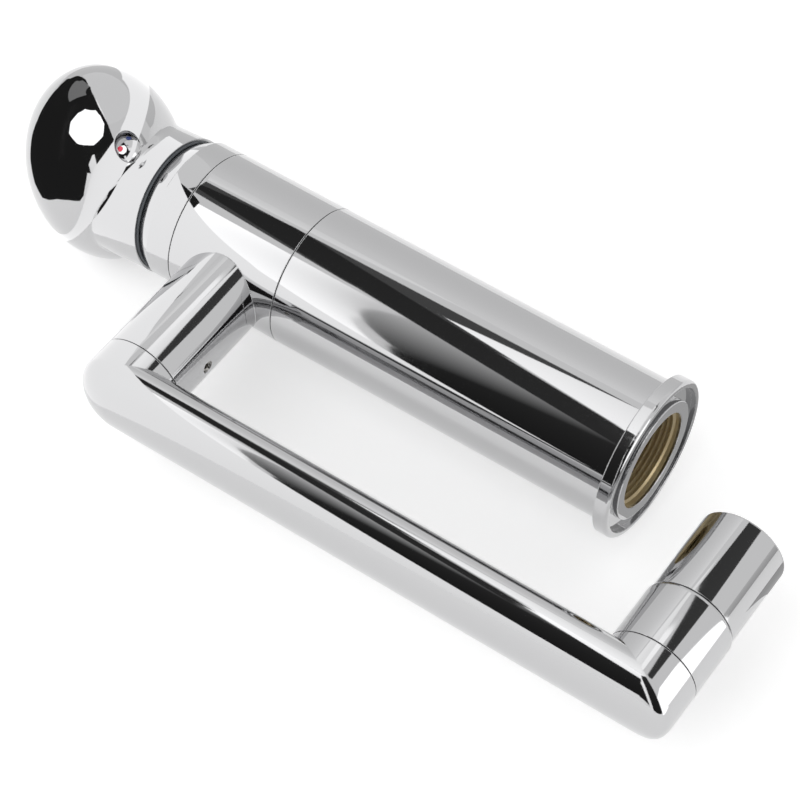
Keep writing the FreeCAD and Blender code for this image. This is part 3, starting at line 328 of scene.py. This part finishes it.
def closeCorner(bm, p, halfWidth, halfDepth, height, way, fullness):
    # close one skin's open corner by rows from the half oval of the arm's run to the half circle of its end
    def place(vert):
        return vert.co.x / mm, vert.co.y / mm + p["middle"], (vert.co.z / mm - height) * way

    def isOnRim(vert):
        x, y, z = place(vert)
        return abs(math.hypot(x / halfWidth, y / halfDepth, z / halfWidth) - 1) < p["onSkin"]

    rim = [edge for edge in bm.edges if edge.is_boundary and all(isOnRim(vert) for vert in edge.verts)]
    oval = [edge for edge in rim if all(abs(place(vert)[2]) < p["onCut"] for vert in edge.verts)]
    circle = [edge for edge in rim if edge not in oval]
    row = oval
    for step in range(1, p["rows"]):
        angle = math.pi / 2 * (1 - step / p["rows"])
        rise, depth = math.cos(angle) / halfWidth, math.sin(angle) / halfDepth
        reach = (rise ** fullness + depth ** fullness) ** (-1 / fullness)
        made = bmesh.ops.extrude_edge_only(bm, edges=row)["geom"]
        verts = [item for item in made if isinstance(item, bmesh.types.BMVert)]
        for vert in verts:
            x = vert.co.x / mm
            bulge = reach * math.sqrt(max(1 - (x / halfWidth) ** 2, 0))
            vert.co.y = (-math.sin(angle) * bulge - p["middle"]) * mm
            vert.co.z = (height + way * math.cos(angle) * bulge) * mm
        row = [item for item in made
               if isinstance(item, bmesh.types.BMEdge) and all(vert in verts for vert in item.verts)]
    bmesh.ops.bridge_loops(bm, edges=row + circle)
    tips = []
    for vert in bm.verts:
        x, y, z = place(vert)
        if max(abs(abs(x) - halfWidth), abs(y), abs(z)) < p["tipReach"]:
            tips.append(vert)
    bmesh.ops.remove_doubles(bm, verts=tips, dist=p["tipWeld"] * mm)


def outerSurfaces(p):
    # the smooth surfaces of the outer skin: each gives how far out a point lies, where 1 is on it, and its normal
    halfWidth, halfDepth = p["skins"][0]

    def run(x, y, z):
        return math.hypot(x / halfWidth, y / halfDepth), (x / halfWidth ** 2, y / halfDepth ** 2, 0)

    surfaces = [run]
    for height, way, fullness in p["ends"]:
        def end(x, y, z, height=height):
            return math.hypot(x, z - height) / halfWidth, (x, 0, z - height)

        def corner(x, y, z, height=height, way=way, fullness=fullness):
            rise, depth = max((z - height) * way, 0) / halfWidth, max(-y, 0) / halfDepth
            size = rise ** fullness + depth ** fullness
            slope = size ** (2 / fullness - 1) if size else 0
            return (math.sqrt(size ** (2 / fullness) + (x / halfWidth) ** 2),
                    (x / halfWidth ** 2, -slope * depth ** (fullness - 1) / halfDepth,
                     slope * way * rise ** (fullness - 1) / halfWidth))

        surfaces += [end, corner]
    return surfaces


def smoothNormals(piece, p):
    # shade every facet of the outer skin with the normals of the surface it lies on, so that it mirrors smoothly
    mesh = piece.data
    normals = [corner.vector.copy() for corner in mesh.corner_normals]
    surfaces = outerSurfaces(p)
    for polygon in mesh.polygons:
        points = [mesh.vertices[index].co / mm + Vector((0, p["middle"], 0)) for index in polygon.vertices]
        for surface in surfaces:
            found = [surface(*point) for point in points]
            if all(abs(size - 1) < p["onSkin"] for size, normal in found):
                exact = [Vector(normal).normalized() for size, normal in found]
                if all(normal.dot(polygon.normal) > p["agree"] for normal in exact):
                    for index, normal in zip(polygon.loop_indices, exact):
                        normals[index] = normal
                    break
    mesh.normals_split_custom_set(normals)


def makeArm():
    p = domedArm
    bm = bmesh.new()
    bm.from_mesh(nodes["spout_arm"].data)
    bmesh.ops.remove_doubles(bm, verts=bm.verts, dist=weld)
    back = Vector((0, -p["middle"], 0)) * mm
    cuts = [(back, Vector((0, 1, 0)))] + [(Vector((0, 0, height)) * mm, Vector((0, 0, 1)))
                                          for height, way, fullness in p["ends"]]
    for point, normal in cuts:
        bmesh.ops.bisect_plane(bm, geom=bm.verts[:] + bm.edges[:] + bm.faces[:], dist=weld,
                               plane_co=point, plane_no=normal)
    for height, way, fullness in p["ends"]:
        corner = [face for face in bm.faces if face.calc_center_median().y < back.y
                  and (face.calc_center_median().z / mm - height) * way > 0]
        bmesh.ops.delete(bm, geom=corner, context="FACES")
        for halfWidth, halfDepth in p["skins"]:
            closeCorner(bm, p, halfWidth, halfDepth, height, way, fullness)
    print("arm's open edges:", sum(edge.is_boundary for edge in bm.edges))
    piece = finishPiece("domedArm", bm, "chrome", "arm")
    smoothNormals(piece, p)
    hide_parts("spout_arm")


makeArm()
print("domed arm made")

footThread = {
    "boreRadius": 15.3,
    "crestRadius": 14.45,
    "crestWidth": 0.25,
    "rootWidth": 1.32,
    "rootDepth": 0.03,     # how far the ridge's foot lies in the wall
    "pitch": 1.5,
    "start": 2.2,
    "turns": 14,
    "stepsPerTurn": 72,
}


def makeFootThread():
    # the ridge of the thread in the foot's bore, wound up the column's axis
    p = footThread
    root, crest = p["boreRadius"] + p["rootDepth"], p["crestRadius"]
    rootHalf, crestHalf = p["rootWidth"] / 2, p["crestWidth"] / 2
    section = ((root, -rootHalf), (crest, -crestHalf), (crest, crestHalf), (root, rootHalf))
    bm = bmesh.new()
    bm.faces.new([bm.verts.new(Vector((radius, 0, p["start"] + height)) * mm) for radius, height in section])
    bmesh.ops.spin(bm, geom=bm.faces[:] + bm.edges[:] + bm.verts[:], axis=(0, 0, 1),
                   dvec=Vector((0, 0, p["pitch"] * mm / p["stepsPerTurn"])), angle=math.tau * p["turns"],
                   steps=p["turns"] * p["stepsPerTurn"])
    bmesh.ops.remove_doubles(bm, verts=bm.verts, dist=weld)
    finishPiece("footThread", bm, "brass", "faucet_body")


makeFootThread()
print("foot thread made")

aeratorNet = {
    "wire": 0.13,          # wire radius; real wire is about 0.1 mm, drawn coarser so that it shows
    "pitch": 0.9,
    "sides": 6,
    "bendsPerPitch": 4,
    "weave": 0.9,          # how far a wire bends, as a share of its radius
    "sharpAngle": 75,      # a wire's six sides are shaded as one round
}


def makeNet():
    # woven wires across the aerator's mouth, each bent over and under the wires it crosses
    p = aeratorNet
    low, high = (Vector(corner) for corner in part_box("aerator_mesh"))
    radius = (high.y - low.y) / 2 - p["wire"] * mm
    pitch = p["pitch"] * mm
    count = int(radius / pitch)
    bm = bmesh.new()
    for direction in (0, 1):
        for row in range(-count, count + 1):
            offset = row * pitch
            half = math.sqrt(max(radius ** 2 - offset ** 2, 0))
            bends = max(2, round(2 * half / pitch * p["bendsPerPitch"]))
            ring = bmesh.ops.create_circle(bm, cap_ends=True, segments=p["sides"], radius=p["wire"] * mm,
                                           matrix=Matrix.Rotation(math.pi / 2, 4, "X"))["verts"]
            bmesh.ops.translate(bm, verts=ring, vec=(0, -half, 0))
            tip = [ring[0].link_faces[0]]
            made = list(ring)
            for bend in range(bends):
                new = bmesh.ops.extrude_face_region(bm, geom=tip)["geom"]
                if bend:
                    bmesh.ops.delete(bm, geom=tip, context="FACES_ONLY")
                tip = [item for item in new if isinstance(item, bmesh.types.BMFace)]
                moved = [item for item in new if isinstance(item, bmesh.types.BMVert)]
                bmesh.ops.translate(bm, verts=moved, vec=(0, 2 * half / bends, 0))
                made += moved
            sign = 1 if (row + direction) % 2 else -1
            for vert in made:
                vert.co.x += sign * math.cos(vert.co.y / pitch * math.pi) * p["wire"] * mm * p["weave"]
                vert.co.z += offset
            if direction:
                bmesh.ops.rotate(bm, verts=made, cent=(0, 0, 0), matrix=Matrix.Rotation(math.pi / 2, 3, "X"))
    bmesh.ops.translate(bm, verts=bm.verts, vec=(low + high) / 2)
    piece = finishPiece("aeratorNet", bm, "steel", "outlet", p["sharpAngle"])
    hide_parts("aerator_mesh")


makeNet()
print("aerator net made")

studio = {
    "floorGap": 0.4,            # distance of the floor under the part, mm
    "floorSize": 3.0,           # m
    "floorMiddle": (-0.1, 0.05),
    "floorColour": "#f4f4f4",
    "floorLift": 0.3,           # brings the lit floor up to white for the camera; its shadow stays
    "worldLevel": 0.8,          # what matt surfaces get
    "keyPlace": (1.1, -0.9, 0.35),
    "keySize": 1.2,
    "keyPower": 7.0,
}

# What the polished metal mirrors: flat cards with their centre, half their width and half their height in mm,
# and their brightness at the lower and at the upper edge, where 1 is white
cards = {
    "blackBackdrop": ((1520, -601, 88), (217, -444, 566), (2214, 193, 184), (0.01, 0.07)),
    "longStrip": ((309, -428, -6), (48, -51, 50), (-1124, -284, -471), (2.34, 0.73)),
    "shadeBehind": ((22, 773, -1356), (5, -23, -151), (368, 177, -255), (0.41, 0.72)),
    "sideBackdrop": ((-283, -656, 19), (266, -82, -235), (-58, -796, -421), (1.6, 0.2)),
    "ceilingCloth": ((2273, -1700, 1350), (1257, 296, 362), (1543, -665, 531), (2.19, 1.09)),
    "columnLight": ((328, -8, 35), (-7, 112, 85), (-1, 76, -60), (1.7, 1.34)),
    "topFlag": ((1662, 295, 146), (-771, -429, 223), (553, 899, -108), (0.03, 1.73)),
    "columnFlag": ((619, -84, 315), (68, 109, 0), (-38, -223, -139), (0.03, 0.04)),
    "footFlag": ((753, 449, -247), (86, 5, -276), (15, -81, 59), (0.07, 0.06)),
    "farFlag": ((1268, 386, 405), (618, 410, -114), (-111, -153, -194), (0.1, 0.09)),
    "farCloth": ((837, 45, 987), (164, 820, -772), (940, -1229, 1952), (0.75, 1.58)),
    # The card on the table by the foot, at half brightness, is a painted shadow: it stands in for the table's shade
    # round the foot as the chrome mirrors it
    "footShadowCard": ((-25.9, 30, -42), (0, 35, 0), (0, 0, 40), (0.5, 0.5)),
    "boreLight": ((40, -20, -300), (150, 0, 0), (0, 130, 0), (2.3, 2.3)),
}

# The tent round the handle, also seen only in mirror surfaces. A patch is its radius in mm, its brightness and its
# outline in degrees seen from the handle's middle: round the X axis from the arm's side up, then towards the front
tent = {
    "middle": (0, 0, 199),
    "step": 6,                  # degrees between the cuts that let a patch bend
    "onCut": 1e-4,
    "patches": {
        "octagonLight": (54.4, 2.3, (
            (-60, 60), (-52, 50), (-36, 43), (-12, 42), (5, 47), (10, 57), (5, 67), (-10, 73.5), (-47, 73.5),
            (-57, 68))),
        "greyCloth": (54.6, 0.28, ((46, 84), (46, 66), (104, 60), (116, 66), (122, 80))),
        "blackCloth": (55, 0.02, (
            (-67, 44), (-48, 38), (-33, 34), (-28, 26), (-24, 12), (-19, -4), (-14, -10), (0, -13), (15, -18),
            (28, -25), (42, -30), (54, -26), (64, -14), (70, 0), (72, 14), (80, 28), (92, 38), (105, 40), (117, 50),
            (122, 66), (122, 90), (-62, 90), (-62, 78), (-67, 60))),
        "paleCloth": (55, 1.05, (
            (122, 55), (122, 90), (293, 90), (293, 58), (240, 52), (200, 50), (150, 50))),
    },
}


def makeCardMaterial():
    # glows as bright as the mesh's glow attribute says
    material = bpy.data.materials.new("studioCard")
    material.use_nodes = True
    tree = material.node_tree
    tree.nodes.clear()
    glow = addNode(tree, "ShaderNodeAttribute", attribute_name="glow")
    light = addNode(tree, "ShaderNodeEmission", {"Strength": glow.outputs["Fac"]})
    light.inputs["Color"].default_value = white
    addNode(tree, "ShaderNodeOutputMaterial", {"Surface": light.outputs["Emission"]})
    return material


def stageCard(name, bm, glows, material):
    # a card is seen only in mirror surfaces; it has one brightness for each of its points
    card = newObject(name, bm, material)
    values = card.data.attributes.new("glow", "FLOAT", "POINT").data
    for value, glow in zip(values, glows):
        value.value = glow
    card.visible_camera = False
    card.visible_diffuse = False
    card.visible_shadow = False


def makeCard(name, centre, width, height, levels, material):
    centre, width, height = Vector(centre), Vector(width), Vector(height)
    bm = bmesh.new()
    corners = (centre - width - height, centre + width - height, centre + width + height, centre - width + height)
    bm.faces.new([bm.verts.new(corner * mm) for corner in corners])
    stageCard(name, bm, (levels[0], levels[0], levels[1], levels[1]), material)


def makePatch(name, radius, level, outline, material):
    # lay the outline out flat, cut it into a grid, and bend the grid onto the tent's sphere
    bm = bmesh.new()
    bm.faces.new([bm.verts.new((*point, 0)) for point in outline])
    bmesh.ops.triangulate(bm, faces=bm.faces)
    for axis in (0, 1):
        normal = Vector((1 - axis, axis, 0))
        values = [point[axis] for point in outline]
        line = math.ceil(min(values) / tent["step"]) * tent["step"]
        while line < max(values):
            bmesh.ops.bisect_plane(bm, geom=bm.verts[:] + bm.edges[:] + bm.faces[:], dist=tent["onCut"],
                                   plane_co=normal * line, plane_no=normal)
            line += tent["step"]
    for vert in bm.verts:
        turn, rise = math.radians(vert.co.x), math.radians(vert.co.y)
        out = Vector((math.sin(rise), -math.cos(turn) * math.cos(rise), math.sin(turn) * math.cos(rise)))
        vert.co = (Vector(tent["middle"]) + out * radius) * mm
    stageCard(name, bm, [level] * len(bm.verts), material)


def addSeen(tree):
    # 1 for what the camera sees straight, mirrored or through glass, else 0
    rays = addNode(tree, "ShaderNodeLightPath").outputs
    seen = addNode(tree, "ShaderNodeMath", {0: rays["Is Camera Ray"], 1: rays["Is Glossy Ray"]}, operation="ADD")
    seen = addNode(tree, "ShaderNodeMath", {0: seen.outputs[0], 1: rays["Is Transmission Ray"]},
                   operation="ADD", use_clamp=True)
    return seen.outputs[0]


def makeFloor():
    # a pale table top under the lying part, seen only from its upper side
    s = studio
    height = boundsAtLoad[0][0] - s["floorGap"] * mm
    bm = bmesh.new()
    bmesh.ops.create_grid(bm, x_segments=1, y_segments=1, size=s["floorSize"] / 2)
    bmesh.ops.rotate(bm, verts=bm.verts, cent=(0, 0, 0), matrix=Matrix.Rotation(math.pi / 2, 3, "Y"))
    bmesh.ops.translate(bm, verts=bm.verts, vec=(height, *s["floorMiddle"]))
    material = bpy.data.materials.new("paleTable")
    material.use_nodes = True
    tree = material.node_tree
    tree.nodes.clear()
    paint = addNode(tree, "ShaderNodeBsdfDiffuse")
    paint.inputs["Color"].default_value = linear(s["floorColour"])
    lift = addNode(tree, "ShaderNodeMath", {0: addSeen(tree)}, operation="MULTIPLY")
    lift.inputs[1].default_value = s["floorLift"]
    glow = addNode(tree, "ShaderNodeEmission", {"Strength": lift.outputs[0]})
    top = addNode(tree, "ShaderNodeAddShader", {0: paint.outputs[0], 1: glow.outputs[0]})
    clear = addNode(tree, "ShaderNodeBsdfTransparent")
    back = addNode(tree, "ShaderNodeNewGeometry").outputs["Backfacing"]
    mix = addNode(tree, "ShaderNodeMixShader", {0: back, 1: top.outputs[0], 2: clear.outputs[0]})
    addNode(tree, "ShaderNodeOutputMaterial", {"Surface": mix.outputs["Shader"]})
    newObject("floor", bm, material)


def makeWorld():
    # white behind the part and in its mirror surfaces, a plain level on everything else
    world = bpy.data.worlds.new("studioWorld")
    bpy.context.scene.world = world
    world.use_nodes = True
    tree = world.node_tree
    tree.nodes.clear()
    level = addNode(tree, "ShaderNodeMapRange", {"Value": addSeen(tree)}, To_Min=studio["worldLevel"], To_Max=1.0)
    light = addNode(tree, "ShaderNodeBackground", {"Strength": level.outputs["Result"]})
    light.inputs["Color"].default_value = white
    addNode(tree, "ShaderNodeOutputWorld", {"Surface": light.outputs["Background"]})


def makeKey():
    # one large soft lamp from the camera's side
    s = studio
    data = bpy.data.lights.new("softKey", "AREA")
    data.shape = "SQUARE"
    data.size = s["keySize"]
    data.energy = s["keyPower"]
    lamp = bpy.data.objects.new("softKey", data)
    bpy.context.scene.collection.objects.link(lamp)
    lamp.location = s["keyPlace"]
    lamp.rotation_euler = (-Vector(s["keyPlace"])).to_track_quat("-Z", "Y").to_euler()
    lamp.visible_glossy = False


makeFloor()
makeWorld()
makeKey()
cardMaterial = makeCardMaterial()
for name, card in cards.items():
    makeCard(name, *card, cardMaterial)
for name, patch in tent["patches"].items():
    makePatch(name, *patch, cardMaterial)
bpy.context.scene.view_settings.view_transform = "Standard"
print("floor, light and cards:", len(cards) + len(tent["patches"]))
